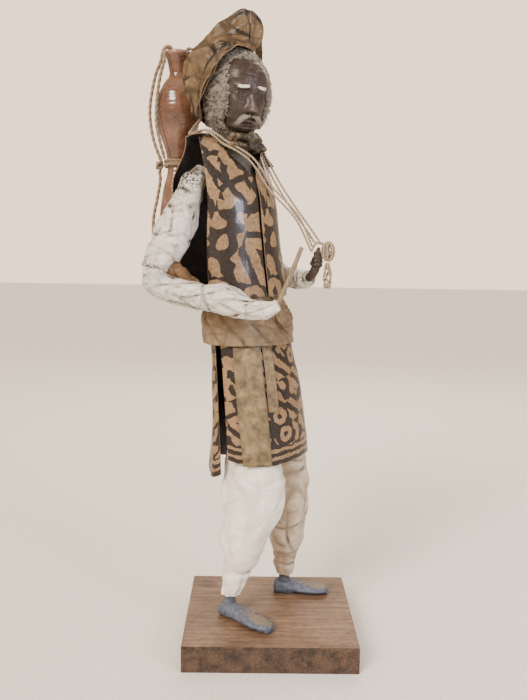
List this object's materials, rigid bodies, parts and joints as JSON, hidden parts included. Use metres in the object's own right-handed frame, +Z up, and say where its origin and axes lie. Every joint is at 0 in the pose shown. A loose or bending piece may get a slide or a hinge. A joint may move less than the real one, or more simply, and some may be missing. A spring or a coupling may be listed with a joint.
{
  "type": "papier-mache water carrier figure",
  "caption": "Folk figure of an old water carrier in varnished paper clothes, with a crushed hat, a stick and a clay jar slung on its back, standing on a square wooden base.",
  "frame": {"origin": "centre of the wooden base's underside", "axes": "+Z up, +X and +Y along the base's sides; the figure faces between +X and -Y, and its left side is towards +X and +Y"},
  "size_m": [0.1475, 0.1166, 0.4277],
  "materials": {
    "stained_pine": "worn stain",
    "steel_wire": "plain wire",
    "slate_blue_paint": "matt paint worn through to the clay",
    "dark_clay": "semi-gloss",
    "white_paper": "crinkled, sealed",
    "crushed_newspaper": "matt",
    "printed_paper_cloth": "printed and varnished",
    "kraft_paper": "crumpled, varnished",
    "khaki_sash": "stiffened",
    "grey_fibre": "teased fibre",
    "glazed_red_clay": "gloss glaze with pits",
    "jute_cord": "twisted cord",
    "twig": "bare",
    "dark_scarf": "stiffened"
  },
  "bodies": {
    "figure": {"base_block": "stained_pine", "right_shoe": "slate_blue_paint", "left_shoe": "slate_blue_paint", "right_ankle": "dark_clay", "left_ankle": "dark_clay", "right_trouser_leg": "white_paper", "left_trouser_leg": "white_paper", "right_leg_wire": "steel_wire", "left_leg_wire": "steel_wire", "hip_core": "crushed_newspaper", "torso_core": "crushed_newspaper", "spine_wire": "steel_wire", "skirt_front": "printed_paper_cloth", "skirt_back": "printed_paper_cloth", "waist_wrap": "kraft_paper", "sash_end_wide": "khaki_sash", "sash_end_narrow": "khaki_sash", "sash_flap": "kraft_paper", "vest_front_right": "printed_paper_cloth", "vest_front_left": "printed_paper_cloth", "vest_back": "printed_paper_cloth", "right_upper_sleeve": "white_paper", "right_forearm_sleeve": "white_paper", "left_upper_sleeve": "white_paper", "left_forearm_sleeve": "white_paper", "right_arm_wire": "steel_wire", "left_arm_wire": "steel_wire", "left_hand": "dark_clay", "walking_stick": "twig", "head": "dark_clay", "moustache": "grey_fibre", "hair": "grey_fibre", "scarf_band": "dark_scarf", "scarf_knot": "dark_scarf", "hat_crown": "kraft_paper", "hat_brim": "kraft_paper", "carry_cord_right_a": "jute_cord", "carry_cord_right_b": "jute_cord", "carry_cord_left_a": "jute_cord", "carry_cord_left_b": "jute_cord", "cord_bow": "jute_cord"},
    "jar": {"water_jar": "glazed_red_clay", "jar_twine_outer": "jute_cord", "jar_twine_inner": "jute_cord", "jar_twine_under": "jute_cord", "jar_waist_tie": "jute_cord", "jar_tie_knot": "jute_cord", "jar_sling_right": "jute_cord", "jar_sling_left": "jute_cord"},
    "tail": {"cord_tail": "jute_cord"}
  },
  "joints": [
    {"name": "jar_swing", "type": "hinge", "parent": "figure", "child": "jar", "pos_m": [-0.04546, 0.01283, 0.346], "axis": [0.7071, 0.7071, 0], "range_deg": [0, 3]},
    {"name": "tail_swing", "type": "hinge", "parent": "figure", "child": "tail", "pos_m": [0.03629, 0.00915, 0.263], "axis": [0.7071, -0.7071, 0], "range_deg": [-20, 20]}
  ]
}
